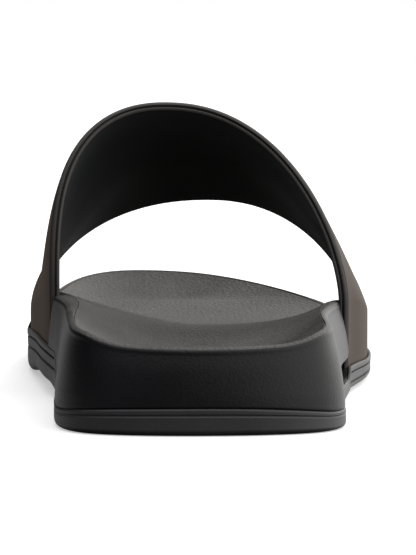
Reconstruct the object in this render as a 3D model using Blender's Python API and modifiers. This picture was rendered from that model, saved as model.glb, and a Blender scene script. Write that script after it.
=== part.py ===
# Sport slide sandal for the right foot: outsole, midsole, footbed and strap.
# The heel is at -Y, the toe at +Y, the inner (medial) side at -X. Metres, +Z up.
# Every piece is lofted from one outline and a few height tables.

import bpy
import bmesh
import numpy as np

# Overall sizes of the sole
LENGTH = 0.282
BALL_WIDTH = 0.1092
HEEL_WIDTH = 0.0834
HEEL_SWING = 0.0064  # the heel's line lies this far to the inner side of the ball's line
TIP_SWING = 0.0184  # and the toe's tip this far

# Outsole
SLAB = 0.0045  # thickness under the foot
HEEL_BAND = 0.0078  # height of its side at the back of the heel
RAND_HEIGHT = 0.0155  # highest side, beside the arch
LIP_WALL = 0.0008
CORNER = 0.0022  # inset of the rounded bottom corner
RAND_FLARE = 0.0002  # how far the rand spreads from the floor to its lip
RAND_GROOVE = 0.0007
GROOVE_REACH = 0.0082  # height below the lip over which both grooves lie
HEEL_GROOVE = 0.0002
TOE_SPRING = 0.0085
ARCH_LIFT = (0.0042, 0.0008)  # medial, lateral
TREAD_DEPTH = 0.0015
TREAD_WIDTH = 0.0028
TREAD_PITCH = 0.013
TREAD_MARGIN = 0.0085
TREAD_WAVE = 0.0045  # how far a groove's chevron reaches along the sole

# Midsole
SIDE_INSET = 0.0002  # how far the outsole stands proud of the midsole
WALL_LEAN = 0.0036  # how far the side leans in towards the rim
RIM_HEIGHT = 0.0307  # highest rim, beside the arch
RIM_ROUND = 0.0020
NOTCH = 0.0042  # depth of the cut in the outer side's wall behind the strap
NOTCH_LENGTH = 0.034

# Footbed
BED_INSET = 0.0072  # of its edge beside the slots
BED_THICKNESS = 0.0030
BED_DROP = 0.0004  # how far its edge lies under the rim
BED_ROUND = 0.0006  # rounding of its upper edge
BED_LOW = 0.0144  # its height under the ball of the foot

# Strap
STRAP_WALL = 0.0030
STRAP_HEIGHT = 0.0883
STRAP_ROUND = 2.2  # how round its sections are over the instep: 2 is an ellipse, more is flatter
STRAP_EDGE = 0.0007  # rounding of its edges
STRAP_PLAY = 0.0008  # room along the slot at each end

FIT = 0.0003  # gap between pieces that touch

# The outline behind the waist: along is a share of the length, medial and lateral of the heel's width
HEEL_OUTLINE = (
    # along, medial, lateral
    (0.010, 0.275, 0.275),
    (0.034, 0.420, 0.420),
    (0.072, 0.484, 0.484),
    (0.125, 0.500, 0.494),
    (0.225, 0.495, 0.508),
    (0.325, 0.491, 0.554),
)

# The outline from the waist to the toe: medial and lateral are shares of the ball's width
BALL_OUTLINE = (
    # along, medial, lateral
    (0.410, 0.463, 0.402),
    (0.505, 0.482, 0.456),
    (0.620, 0.501, 0.493),
    (0.710, 0.505, 0.498),
    (0.790, 0.501, 0.463),
    (0.862, 0.477, 0.388),
    (0.925, 0.434, 0.272),
    (0.967, 0.370, 0.143),
    (0.991, 0.283, 0.008),
)

# The rim's height over the floor, without the toe spring, as a share of the highest rim
RIM = (
    # along, medial, lateral
    (0.000, 0.796, 0.796),
    (0.010, 0.818, 0.815),
    (0.030, 0.885, 0.877),
    (0.080, 0.936, 0.941),
    (0.160, 0.962, 0.962),
    (0.280, 0.980, 0.948),
    (0.380, 1.000, 0.930),
    (0.450, 0.980, 0.888),
    (0.560, 0.796, 0.741),
    (0.660, 0.645, 0.603),
    (0.740, 0.588, 0.552),
    (0.850, 0.556, 0.547),
    (1.000, 0.547, 0.547),
)

# The top of the outsole's side round the heel, as a share of its height at the back
BAND = (
    # along, medial, lateral
    (0.000, 1.000, 1.000),
    (0.010, 0.960, 0.910),
    (0.034, 0.865, 0.750),
    (0.072, 0.770, 0.700),
    (0.125, 0.750, 0.690),
    (1.000, 0.750, 0.690),
)

# The top of the outsole's side beside and before the strap, as a share of its highest
RAND = (
    # along, medial, lateral
    (0.360, 0.965, 0.565),
    (0.400, 1.000, 0.550),
    (0.460, 1.010, 0.522),
    (0.540, 0.995, 0.455),
    (0.620, 0.930, 0.405),
    (0.730, 0.760, 0.400),
    (0.850, 0.670, 0.485),
    (1.000, 0.615, 0.615),
)

# The footbed's middle line, as a share of its height under the ball, and how fast each side falls to it
BED = (
    # along, middle, medial fall, lateral fall
    (0.000, 1.166, 2.4, 2.4),
    (0.150, 1.166, 2.4, 2.4),
    (0.280, 1.254, 2.0, 2.5),
    (0.410, 1.429, 1.45, 3.1),
    (0.500, 1.306, 1.5, 2.9),
    (0.600, 1.079, 1.8, 2.6),
    (0.680, 1.000, 2.4, 2.6),
    (0.780, 0.991, 3.2, 3.2),
    (1.000, 1.009, 3.2, 3.2),
)

# The strap's sections from rear to front. Feet and apex are shares of the length, across of the
# ball's width, top of the strap's height; the higher the rise, the more upright the side.
STRAP = (
    # share, medial foot, lateral foot, apex, across, top, medial rise, lateral rise
    (0.00, 0.386, 0.386, 0.461, -0.124, 1.000, 3.25, 1.66),
    (0.50, 0.568, 0.553, 0.593, -0.052, 0.837, 1.38, 1.15),
    (1.00, 0.754, 0.720, 0.725, 0.030, 0.633, 1.80, 1.58),
)

# How far the midsole's side leans at its top, as a share of the whole lean
LEAN = (
    # along, medial, lateral
    (0.000, 1.00, 1.00),
    (0.160, 1.00, 1.00),
    (0.300, 0.60, 0.95),
    (0.386, 0.40, 0.88),
    (0.600, 0.60, 0.90),
    (0.750, 1.00, 1.00),
    (1.000, 1.00, 1.00),
)

# How far in the footbed's edge lies, as a share of its inset
BED_EDGE = (
    # along, share
    (0.000, 0.855),
    (0.250, 0.855),
    (0.345, 1.000),
    (0.790, 1.000),
    (0.880, 0.855),
    (1.000, 0.855),
)

# The outsole's side profile, from the bottom corner to the lip
OUTSOLE_SIDE = (
    # rise (share of the side's height), inset (share of the corner), rand groove, heel groove
    (0.00, 1.00, 0.0, 0.0),
    (0.09, 0.45, 0.0, 0.0),
    (0.20, 0.10, 0.0, 0.0),
    (0.26, 0.00, 0.0, 0.0),
    (0.30, 0.00, 1.0, 0.0),
    (0.37, 0.00, 1.0, 0.0),
    (0.42, 0.00, 0.1, 0.0),
    (0.67, 0.00, 0.1, 0.0),
    (0.71, 0.00, 1.0, 1.0),
    (0.77, 0.00, 1.0, 1.0),
    (0.82, 0.00, 0.0, 0.0),
    (0.94, 0.05, 0.0, 0.0),
    (1.00, 0.20, 0.0, 0.0),
)

# The midsole's side, from the ledge over the outsole to the foot of the rim's rounding
MIDSOLE_SIDE = (
    # rise, lean, notch
    (0.00, 0.10, 0.7),
    (0.04, 0.00, 0.8),
    (0.24, 0.10, 1.0),
    (0.30, 0.145, 0.0),
    (0.72, 0.57, 0.0),
    (1.00, 1.00, 0.0),
)

# The rim's rounding: inset and drop are shares of its radius
RIM_ROUNDING = (
    # inset, drop
    (0.14, 0.50),
    (0.50, 0.13),
    (1.00, 0.00),
)

# Steps across the footbed, from its edge to the middle line
BED_STEPS = (0.00, 0.10, 0.22, 0.38, 0.58, 0.78, 1.00)
FLOOR_STEPS = (0.00, 0.35, 0.70, 1.00)

# Rows along each side: behind the notch, beside it, beside the slot and in front of it
REAR_ROWS = 10
NOTCH_ROWS = 4
SLOT_ROWS = 8
TOE_ROWS = 12
STRAP_ROWS = 12
STRAP_COLUMNS = 40
DENSE = 40  # points read between two rows of the outline
ARC_POINTS = 160  # and round half a section of the strap

SMOOTH_ANGLE = 40.0  # degrees: sharper edges are shaded sharp
EDGE_ANGLE = 55.0  # and the strap's sharper than this are rounded

# Where things start and end along the sole, as shares of its length
ARCH_RISE = (0.290, 0.400)
ARCH_FALL = (0.520, 0.690)
SPRING_START = 0.735
SPRING_CURVE = 1.8  # the higher, the later the toe rises
TOP_SPRING = (0.620, 0.740)  # where the top begins to follow the toe spring
RAND_START = ((0.290, 0.340), (0.366, 0.388))  # where the heel's band rises to the rand, medial and lateral
HEEL_TREAD = (0.095, 0.330)
BALL_TREAD = (0.590, 0.860)
HEEL_SPINE = 0.135  # the middle line's two ends
TOE_SPINE = 0.875
GROOVE_START = 0.25  # rise from which the outsole's side rows keep their distance from the lip
SHOULDER = 0.0004  # length over which the slot's end wall runs
STRAP_SWEEP = 1.5  # how late the strap's edges sweep from the feet to the apex
TREAD_FOLDS = 4

MEDIAL = 0
LATERAL = 1


def smooth_step(low, high, value):
    share = np.clip((value - low) / (high - low), 0.0, 1.0)
    return share * share * (3.0 - 2.0 * share)


def read_table(rows, column, along):
    """A smooth curve through one column of a table, with the slopes of its neighbours."""
    table = np.array(rows)
    x, y = table[:, 0], table[:, column]
    slope = np.gradient(y, x)
    along = np.clip(along, x[0], x[-1])
    i = np.clip(np.searchsorted(x, along, side="right") - 1, 0, len(x) - 2)
    h = x[i + 1] - x[i]
    t = (along - x[i]) / h
    rise = y[i] * (1 + 2 * t) * (1 - t) ** 2 + y[i + 1] * t * t * (3 - 2 * t)
    return rise + h * (slope[i] * t * (1 - t) ** 2 - slope[i + 1] * t * t * (1 - t))


def closed_spline(points, per_span):
    """The closed curve of continuous curvature through the points, read per_span times a span."""
    p = np.array(points)
    n = len(p)
    h = np.sqrt(np.linalg.norm(np.roll(p, -1, axis=0) - p, axis=1))
    before = np.roll(h, 1)
    chord = (np.roll(p, -1, axis=0) - p) / h[:, None]
    matrix = np.zeros((n, n))
    rows = np.arange(n)
    matrix[rows, rows - 1] = h
    matrix[rows, rows] = 2 * (h + before)
    matrix[rows, (rows + 1) % n] = before
    right = 3 * (h[:, None] * np.roll(chord, 1, axis=0) + before[:, None] * chord)
    tangent = np.linalg.solve(matrix, right)
    t = np.arange(per_span)[None, :, None] / per_span
    start, end = p[:, None], np.roll(p, -1, axis=0)[:, None]
    out, into = tangent[:, None], np.roll(tangent, -1, axis=0)[:, None]
    bend = h[:, None, None] * (out * t * (1 - t) ** 2 - into * t * t * (1 - t))
    curve = start * (1 + 2 * t) * (1 - t) ** 2 + end * t * t * (3 - 2 * t) + bend
    return curve.reshape(-1, 2)


def outline_points():
    """The outline's own points, from the heel up the medial side, round the toe and back."""
    sides = []
    for column, sign in ((1, -1), (2, 1)):
        rear = [(sign * row[column] * HEEL_WIDTH - HEEL_SWING, row[0] * LENGTH) for row in HEEL_OUTLINE]
        front = [(sign * row[column] * BALL_WIDTH, row[0] * LENGTH) for row in BALL_OUTLINE]
        sides.append(rear + front)
    heel = [(-HEEL_SWING, 0.0)]
    toe = [(-TIP_SWING, LENGTH)]
    return heel + sides[MEDIAL] + toe + sides[LATERAL][::-1]


def read_outline():
    """Each side of the outline from heel to toe: places, outward normals and shares of its length."""
    points = outline_points()
    curve = closed_spline(points, DENSE)
    toe = (len(HEEL_OUTLINE) + len(BALL_OUTLINE) + 1) * DENSE
    ahead = np.roll(curve, -1, axis=0) - np.roll(curve, 1, axis=0)
    normal = np.stack([-ahead[:, 1], ahead[:, 0]], axis=1)
    normal /= np.linalg.norm(normal, axis=1)[:, None]
    curve = np.vstack([curve, curve[:1]])
    normal = np.vstack([normal, normal[:1]])
    sides = []
    for part in (slice(None, toe + 1), slice(None, toe - 1, -1)):
        place, out = curve[part], normal[part]
        run = np.concatenate(([0.0], np.cumsum(np.linalg.norm(np.diff(place, axis=0), axis=1))))
        sides.append((place, out, run / run[-1]))
    return sides


SIDES = read_outline()


def share_at(side, along):
    """The share of a side's run that lies at a share of the sole's length."""
    place, _, share = SIDES[side]
    return float(np.interp(along * LENGTH, place[:, 1], share))


def on_side(side, shares, inset):
    """Points on a side of the outline, moved in by inset."""
    place, out, share = SIDES[side]
    shares = np.asarray(shares)
    x, y, nx, ny = (np.interp(shares, share, v) for v in (*place.T, *out.T))
    return np.stack([x - inset * nx, y - inset * ny], axis=-1)


def side_rows(side):
    """Shares of a side's run for the rows of every sole piece, with both ends of the strap's slot."""
    play = (STRAP_PLAY + FIT) / LENGTH
    foot = 1 + side
    rear = share_at(side, STRAP[0][foot] - play)
    front = share_at(side, STRAP[-1][foot] + play)
    step = SHOULDER / LENGTH
    notch = rear - step - NOTCH_LENGTH / LENGTH
    behind = np.linspace(0.0, notch, REAR_ROWS)
    cut = np.linspace(notch, rear - step, NOTCH_ROWS + 1)[1:]
    beside = np.linspace(rear, front, SLOT_ROWS + 1)
    before = np.linspace(front + step, 1.0, TOE_ROWS + 1)
    return np.concatenate([behind, cut, beside, before])


ROWS = [side_rows(MEDIAL), side_rows(LATERAL)]
IN_SLOT = np.zeros(len(ROWS[0]), bool)
IN_SLOT[REAR_ROWS + NOTCH_ROWS:-TOE_ROWS - 1] = True


def ring_of(medial, lateral):
    """One closed ring from two sides: up the medial side and back down the lateral one."""
    return np.concatenate([medial, lateral[-2:0:-1]])


RING_SLOT = ring_of(IN_SLOT, IN_SLOT)
RING_LATERAL = ring_of(np.zeros(len(IN_SLOT)), np.ones(len(IN_SLOT)))


def inset_ring(inset):
    """The outline's ring moved in by inset, one value or one a point."""
    inset = np.broadcast_to(inset, RING_SLOT.shape)
    rows = len(IN_SLOT)
    back = np.concatenate([inset[:1], inset[:rows - 2:-1]])
    medial = on_side(MEDIAL, ROWS[MEDIAL], inset[:rows])
    lateral = on_side(LATERAL, ROWS[LATERAL], back)
    return ring_of(medial, lateral)


def spine_ring():
    """For each point of a ring, the point of the sole's middle line that it runs in to."""
    middle = 0.5 * (on_side(MEDIAL, ROWS[MEDIAL], 0.0) + on_side(LATERAL, ROWS[LATERAL], 0.0))
    y = np.clip(middle[:, 1], HEEL_SPINE * LENGTH, TOE_SPINE * LENGTH)
    x = 0.0
    for side in (MEDIAL, LATERAL):
        place = SIDES[side][0]
        x = x + 0.5 * np.interp(y, place[:, 1], place[:, 0])
    line = np.stack([x, y], axis=-1)
    return ring_of(line, line)


SPINE = spine_ring()


def toe_lift(y):
    """How far the toe is sprung off the floor."""
    toe = np.clip((y / LENGTH - SPRING_START) / (1.0 - SPRING_START), 0.0, 1.0)
    return TOE_SPRING * toe ** SPRING_CURVE


def bottom_height(x, y):
    """The outsole's underside: flat at heel and ball, lifted at the arch, most on its medial side."""
    along = y / LENGTH
    arch = smooth_step(*ARCH_RISE, along) * (1.0 - smooth_step(*ARCH_FALL, along))
    inner = np.clip(0.5 - x / BALL_WIDTH, 0.0, 1.0)
    lift = ARCH_LIFT[LATERAL] + (ARCH_LIFT[MEDIAL] - ARCH_LIFT[LATERAL]) * inner
    return lift * arch + toe_lift(y)


def by_side(medial, lateral):
    """Along a ring, the medial value on one side and the lateral on the other."""
    return medial + (lateral - medial) * RING_LATERAL


def rand_share(along):
    """0 where the outsole's side is the heel's band and 1 where it is the rand."""
    return by_side(smooth_step(*RAND_START[MEDIAL], along), smooth_step(*RAND_START[LATERAL], along))


def lip_height(ring):
    """The top of the outsole's side over the floor."""
    along = ring[:, 1] / LENGTH
    rand = RAND_HEIGHT * by_side(read_table(RAND, 1, along), read_table(RAND, 2, along))
    band = HEEL_BAND * by_side(read_table(BAND, 1, along), read_table(BAND, 2, along))
    height = band + (rand - band) * rand_share(along)
    return toe_lift(ring[:, 1]) + height


def rim_height(ring):
    """The top of the midsole's rim over the floor."""
    along = ring[:, 1] / LENGTH
    share = RIM_HEIGHT * by_side(read_table(RIM, 1, along), read_table(RIM, 2, along))
    return share + toe_lift(ring[:, 1]) * smooth_step(*TOP_SPRING, along)


def wall_lean(ring):
    """How far in the midsole's side leans at its top."""
    along = ring[:, 1] / LENGTH
    return WALL_LEAN * by_side(read_table(LEAN, 1, along), read_table(LEAN, 2, along))


def bed_edge(ring):
    """How far in from the outline the footbed's edge lies."""
    return BED_INSET * read_table(BED_EDGE, 1, ring[:, 1] / LENGTH)


def bed_surface(edge_inset, steps, drop):
    """Rings of the footbed's upper face, moved down by drop: a bowl between its edge and middle line."""
    edge = inset_ring(edge_inset)
    along = edge[:, 1] / LENGTH
    edge_z = rim_height(inset_ring(0.0)) - BED_DROP
    spine_along = SPINE[:, 1] / LENGTH
    sprung = toe_lift(SPINE[:, 1]) * smooth_step(*TOP_SPRING, spine_along)
    middle = BED_LOW * read_table(BED, 1, spine_along) + sprung
    fall = by_side(read_table(BED, 2, along), read_table(BED, 3, along))
    rings = []
    for step in steps:
        place = edge + (SPINE - edge) * step
        z = middle + (edge_z - middle) * (1.0 - step) ** fall - drop
        rings.append(with_height(place, z))
    return rings


def with_height(ring, z):
    return np.column_stack([ring, np.broadcast_to(z, len(ring))])


def floor_rings(inset, steps, lift):
    """Rings from an inset outline in to the middle line, at lift over the underside."""
    edge = inset_ring(inset)
    rings = []
    for step in steps:
        place = edge + (SPINE - edge) * step
        rings.append(with_height(place, bottom_height(*place.T) + lift))
    return rings


def loft(name, rings, collection, material):
    """A closed solid through rings of equal count, whose first and last ring lie on the middle line."""
    bm = bmesh.new()
    rows = [[bm.verts.new((x, y - LENGTH / 2, z)) for x, y, z in ring] for ring in rings]
    count = len(rings[0])
    for low, high in zip(rows, rows[1:]):
        for i in range(count):
            j = (i + 1) % count
            bm.faces.new((low[i], high[i], high[j], low[j]))
    bmesh.ops.remove_doubles(bm, verts=bm.verts, dist=1e-6)
    bmesh.ops.recalc_face_normals(bm, faces=bm.faces)
    return add_object(name, bm, collection, material)


def add_object(name, bm, collection, material=None):
    mesh = bpy.data.meshes.new(name)
    bm.to_mesh(mesh)
    bm.free()
    obj = bpy.data.objects.new(name, mesh)
    collection.objects.link(obj)
    if material:
        mesh.materials.append(material)
        mesh.shade_smooth()
        mesh.set_sharp_from_angle(angle=np.radians(SMOOTH_ANGLE))
    return obj


def side_height(low, high, rise):
    """The height of a row of the outsole's side: its upper rows keep their distance from the lip."""
    if rise < GROOVE_START:
        return low + (high - low) * rise
    return high - (1.0 - rise) * np.minimum(high - low, GROOVE_REACH)


def make_outsole(collection, cutters, material):
    """A slab with a band round the heel, a rand of two grooves round the forefoot and chevrons below."""
    outer = inset_ring(0.0)
    low = bottom_height(*outer.T)
    high = lip_height(outer)
    fore = rand_share(outer[:, 1] / LENGTH)
    rings = floor_rings(CORNER + RAND_FLARE * fore, FLOOR_STEPS[::-1], 0.0)[:-1]
    for rise, inset, dent, heel_dent in OUTSOLE_SIDE:
        fore_inset = RAND_FLARE * (1.0 - rise) + RAND_GROOVE * dent
        ring = inset_ring(CORNER * inset + fore * fore_inset + (1.0 - fore) * HEEL_GROOVE * heel_dent)
        rings.append(with_height(ring, side_height(low, high, rise)))
    rings.append(with_height(inset_ring(LIP_WALL), high))
    rings += floor_rings(LIP_WALL, FLOOR_STEPS, SLAB)
    outsole = loft("outsole", rings, collection, material)
    cut = outsole.modifiers.new("tread", "BOOLEAN")
    cut.operation = "DIFFERENCE"
    cut.solver = "EXACT"
    cut.object = make_tread(cutters)
    return outsole


def make_tread(cutters):
    """Chevron grooves across the heel and the ball, each a bar of square section along a folded line."""
    bm = bmesh.new()
    heel = np.arange(HEEL_TREAD[0] * LENGTH, HEEL_TREAD[1] * LENGTH, TREAD_PITCH)
    ball = np.arange(BALL_TREAD[0] * LENGTH, BALL_TREAD[1] * LENGTH, TREAD_PITCH)
    for y in np.concatenate([heel, ball]):
        ends = []
        for side in (MEDIAL, LATERAL):
            place = SIDES[side][0]
            ends.append(float(np.interp(y, place[:, 1], place[:, 0])))
        x0, x1 = ends[0] + TREAD_MARGIN, ends[1] - TREAD_MARGIN
        add_groove(bm, x0, x1, y)
    bmesh.ops.recalc_face_normals(bm, faces=bm.faces)
    cutter = add_object("tread_cutter", bm, cutters)
    cutter.hide_render = True
    cutter.display_type = "WIRE"
    return cutter


def add_groove(bm, x0, x1, y):
    """One chevron groove from x0 to x1, its depth measured from the underside."""
    shares = np.linspace(0.0, 1.0, TREAD_FOLDS + 1)
    half = TREAD_WIDTH / 2
    frames = []
    for i, share in enumerate(shares):
        x = x0 + (x1 - x0) * share
        mid = y + TREAD_WAVE / 2 * (-1) ** i
        base = float(bottom_height(x, mid))
        low, high = base - TREAD_DEPTH, base + TREAD_DEPTH
        corners = ((mid - half, low), (mid + half, low), (mid + half, high), (mid - half, high))
        frames.append([bm.verts.new((x, v - LENGTH / 2, z)) for v, z in corners])
    for a, b in zip(frames, frames[1:]):
        for i in range(4):
            j = (i + 1) % 4
            bm.faces.new((a[i], a[j], b[j], b[i]))
    bm.faces.new(frames[0])
    bm.faces.new(frames[-1][::-1])


def make_midsole(collection, material):
    """The foam body: a ledge over the outsole, leaning sides, slots for the strap and a tray."""
    outer = inset_ring(0.0)
    slot_inset = LIP_WALL + STRAP_WALL + 2 * FIT
    cup = np.where(RING_SLOT, slot_inset, LIP_WALL + FIT)
    ledge = lip_height(outer) + FIT
    rim = rim_height(outer)
    wall_top = rim - RIM_ROUND
    cut = notch_ring()
    lean_in = wall_lean(outer)
    tray = bed_edge(outer)
    rings = floor_rings(cup, FLOOR_STEPS[::-1], SLAB + FIT)
    rings.append(with_height(inset_ring(cup), ledge))
    for rise, lean, notch in MIDSOLE_SIDE:
        free = SIDE_INSET + lean_in * lean + cut * notch
        inset = np.where(RING_SLOT, slot_inset, free)
        rings.append(with_height(inset_ring(inset), ledge + (wall_top - ledge) * rise))
    top_inset = np.where(RING_SLOT, slot_inset, SIDE_INSET + lean_in)
    for inset, drop in RIM_ROUNDING:
        ring = inset_ring(top_inset + RIM_ROUND * inset)
        rings.append(with_height(ring, rim - RIM_ROUND * drop))
    rings.append(with_height(inset_ring(tray), rim - BED_DROP))
    rings += bed_surface(tray, BED_STEPS, BED_THICKNESS + FIT)
    return loft("midsole", rings, collection, material)


def notch_ring():
    """How deep the wall is cut behind the strap on the outer side, at each point of a ring."""
    outer = inset_ring(0.0)
    start = STRAP[0][2] * LENGTH - STRAP_PLAY - NOTCH_LENGTH
    depth = NOTCH * smooth_step(start, start + NOTCH_LENGTH, outer[:, 1])
    return depth * RING_LATERAL * (outer[:, 1] < STRAP[-1][2] * LENGTH)


def make_footbed(collection, material):
    """The contoured sheet that lies in the midsole's tray, with a rounded upper edge."""
    edge = bed_edge(inset_ring(0.0)) + FIT
    rings = bed_surface(edge, BED_STEPS[::-1], BED_THICKNESS)
    rings += bed_surface(edge, BED_STEPS[:1], BED_ROUND)
    top = bed_surface(edge, BED_STEPS, 0.0)
    top[0] = bed_surface(edge + BED_ROUND, BED_STEPS[:1], 0.0)[0]
    return loft("footbed", rings + top, collection, material)


def strap_section(row, count):
    """One section of the strap's outer face: a leg in each slot and two quarters of an oval."""
    column = [float(read_table(STRAP, i, row)) for i in range(1, 8)]
    medial_foot, lateral_foot, apex, across, top, medial_rise, lateral_rise = column
    inset = LIP_WALL + FIT
    height = top * STRAP_HEIGHT
    apex_point = np.array([across * BALL_WIDTH, apex * LENGTH, height])
    halves = []
    for side, foot, rise in ((MEDIAL, medial_foot, medial_rise), (LATERAL, lateral_foot, lateral_rise)):
        x, y = on_side(side, share_at(side, foot), inset)
        rim = RIM_HEIGHT * float(read_table(RIM, 1 + side, foot))
        base = float(bottom_height(x, y)) + SLAB + FIT
        leg = max(rim, base)
        angle = np.linspace(0.0, np.pi / 2, ARC_POINTS)
        out = np.cos(angle) ** (2 / STRAP_ROUND)
        up = np.sin(angle) ** (2 / rise)
        arc = np.stack([
            apex_point[0] + (x - apex_point[0]) * out,
            y + (apex_point[1] - y) * up ** STRAP_SWEEP,
            leg + (height - leg) * up,
        ], axis=-1)
        halves.append(np.vstack([[x, y, base], arc]))
    line = np.vstack([halves[0], halves[1][-2::-1]])
    run = np.concatenate(([0.0], np.cumsum(np.linalg.norm(np.diff(line, axis=0), axis=1))))
    steps = np.linspace(0.0, run[-1], count + 1)
    return np.stack([np.interp(steps, run, line[:, i]) for i in range(3)], axis=-1)


def make_strap(collection, material):
    """The band over the instep: an open sheet through its sections, given its wall inwards."""
    sections = [strap_section(row, STRAP_COLUMNS) for row in np.linspace(0.0, 1.0, STRAP_ROWS + 1)]
    bm = bmesh.new()
    rows = [[bm.verts.new((x, y - LENGTH / 2, z)) for x, y, z in section] for section in sections]
    for rear, front in zip(rows, rows[1:]):
        for i in range(STRAP_COLUMNS):
            bm.faces.new((rear[i], rear[i + 1], front[i + 1], front[i]))
    strap = add_object("strap", bm, collection, material)
    wall = strap.modifiers.new("wall", "SOLIDIFY")
    wall.thickness = STRAP_WALL
    wall.offset = -1.0
    wall.use_even_offset = True
    edge = strap.modifiers.new("edge", "BEVEL")
    edge.width = STRAP_EDGE
    edge.segments = 2
    edge.limit_method = "ANGLE"
    edge.angle_limit = np.radians(EDGE_ANGLE)
    return strap


def make_material(name, colour, roughness):
    material = bpy.data.materials.new(name)
    material.use_nodes = True
    shader = material.node_tree.nodes["Principled BSDF"]
    shader.inputs["Base Color"].default_value = (*colour, 1.0)
    shader.inputs["Roughness"].default_value = roughness
    shader.inputs["Metallic"].default_value = 0.0
    return material


def make_collection(name):
    collection = bpy.data.collections.new(name)
    bpy.context.scene.collection.children.link(collection)
    return collection


def main():
    for obj in list(bpy.data.objects):
        bpy.data.objects.remove(obj)
    parts = make_collection("slide_sandal")
    cutters = make_collection("cutters")
    rubber = make_material("outsole_rubber", (0.022, 0.022, 0.024), 0.50)
    foam = make_material("midsole_foam", (0.015, 0.015, 0.017), 0.62)
    cover = make_material("footbed_cover", (0.030, 0.029, 0.029), 0.70)
    band = make_material("strap_rubber", (0.014, 0.013, 0.013), 0.55)
    make_outsole(parts, cutters, rubber)
    make_midsole(parts, foam)
    make_footbed(parts, cover)
    make_strap(parts, band)


main()
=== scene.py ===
import bpy
import bmesh
import math
import numpy as np
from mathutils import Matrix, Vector


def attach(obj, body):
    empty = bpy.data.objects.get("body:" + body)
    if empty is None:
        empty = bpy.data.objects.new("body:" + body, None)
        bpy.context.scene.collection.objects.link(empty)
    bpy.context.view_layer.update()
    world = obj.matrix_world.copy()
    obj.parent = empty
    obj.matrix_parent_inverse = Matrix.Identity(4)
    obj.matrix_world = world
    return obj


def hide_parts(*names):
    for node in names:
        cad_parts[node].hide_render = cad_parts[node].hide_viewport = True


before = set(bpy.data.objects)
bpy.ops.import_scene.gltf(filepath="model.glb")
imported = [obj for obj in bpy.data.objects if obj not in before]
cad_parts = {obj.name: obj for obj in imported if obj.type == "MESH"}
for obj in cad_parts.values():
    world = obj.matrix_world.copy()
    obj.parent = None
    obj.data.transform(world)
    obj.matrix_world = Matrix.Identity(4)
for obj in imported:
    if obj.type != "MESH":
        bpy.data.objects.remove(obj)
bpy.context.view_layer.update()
print("frame loaded:", sorted(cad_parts))

# The sole's outline and heights, which every piece follows. Places along it are shares of its length,
# and the slots for the band's feet are shared by midsole, outsole and band.
sole = {
    "length": 0.282,
    "ballWidth": 0.1092,
    "heelWidth": 0.0834,
    "heelSwing": 0.0064,  # how far the heel's line lies to the inner side of the ball's line
    "tipSwing": 0.0184,  # the same for the toe's tip
    "heelOutline": (  # along, inner side, outer side: shares of the heel's width
        (0.010, 0.275, 0.275),
        (0.034, 0.420, 0.420),
        (0.072, 0.484, 0.484),
        (0.125, 0.500, 0.494),
        (0.225, 0.495, 0.508),
        (0.325, 0.491, 0.554),
    ),
    "ballOutline": (  # along, inner side, outer side: shares of the ball's width
        (0.410, 0.463, 0.402),
        (0.505, 0.482, 0.456),
        (0.620, 0.501, 0.493),
        (0.710, 0.505, 0.498),
        (0.790, 0.501, 0.463),
        (0.862, 0.477, 0.388),
        (0.925, 0.434, 0.272),
        (0.967, 0.370, 0.143),
        (0.991, 0.283, 0.008),
    ),
    "archLift": (0.0042, 0.0008),  # inner side, outer side
    "archRise": (0.290, 0.400),
    "archFall": (0.520, 0.690),
    "toeSpring": 0.0085,
    "springStart": 0.735,
    "springCurve": 1.8,
    "topSpring": (0.620, 0.740),  # where the top begins to follow the toe spring
    "spine": (0.135, 0.875),  # the two ends of the middle line
    "slotRear": (0.386, 0.386),  # inner side, outer side
    "slotFront": (0.754, 0.720),
    "slotPlay": 0.0011,
    "shoulder": 0.0004,  # length of the step at each end of a slot
    "notchLength": 0.034,  # of the cut behind the outer slot
    "fit": 0.0003,  # gap between pieces that touch
    "outlinePoints": 40,  # between two rows of the outline's tables
    "rearRows": 80,
    "notchRows": 56,
    "slotRows": 90,
    "toeRows": 96,
    "floorSteps": (0.0, 0.2, 0.5, 0.8, 1.0),  # rings of a flat floor, as shares of the way to the middle line
    "underRings": 14,  # under the footbed, and in the tray that takes it
}


# A cubic ease: 0 below low, 1 above high, level at both ends.
def smoothStep(low, high, value):
    share = np.clip((value - low) / (high - low), 0.0, 1.0)
    return share * share * (3.0 - 2.0 * share)


# A smooth curve through one column of a table: cubics between the rows, with their neighbours' slopes.
def readTable(rows, column, along):
    table = np.array(rows)
    x, y = table[:, 0], table[:, column]
    slope = np.gradient(y, x)
    along = np.clip(along, x[0], x[-1])
    i = np.clip(np.searchsorted(x, along, side="right") - 1, 0, len(x) - 2)
    h = x[i + 1] - x[i]
    t = (along - x[i]) / h
    rise = y[i] * (1 + 2 * t) * (1 - t) ** 2 + y[i + 1] * t * t * (3 - 2 * t)
    return rise + h * (slope[i] * t * (1 - t) ** 2 - slope[i + 1] * t * t * (1 - t))


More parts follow.
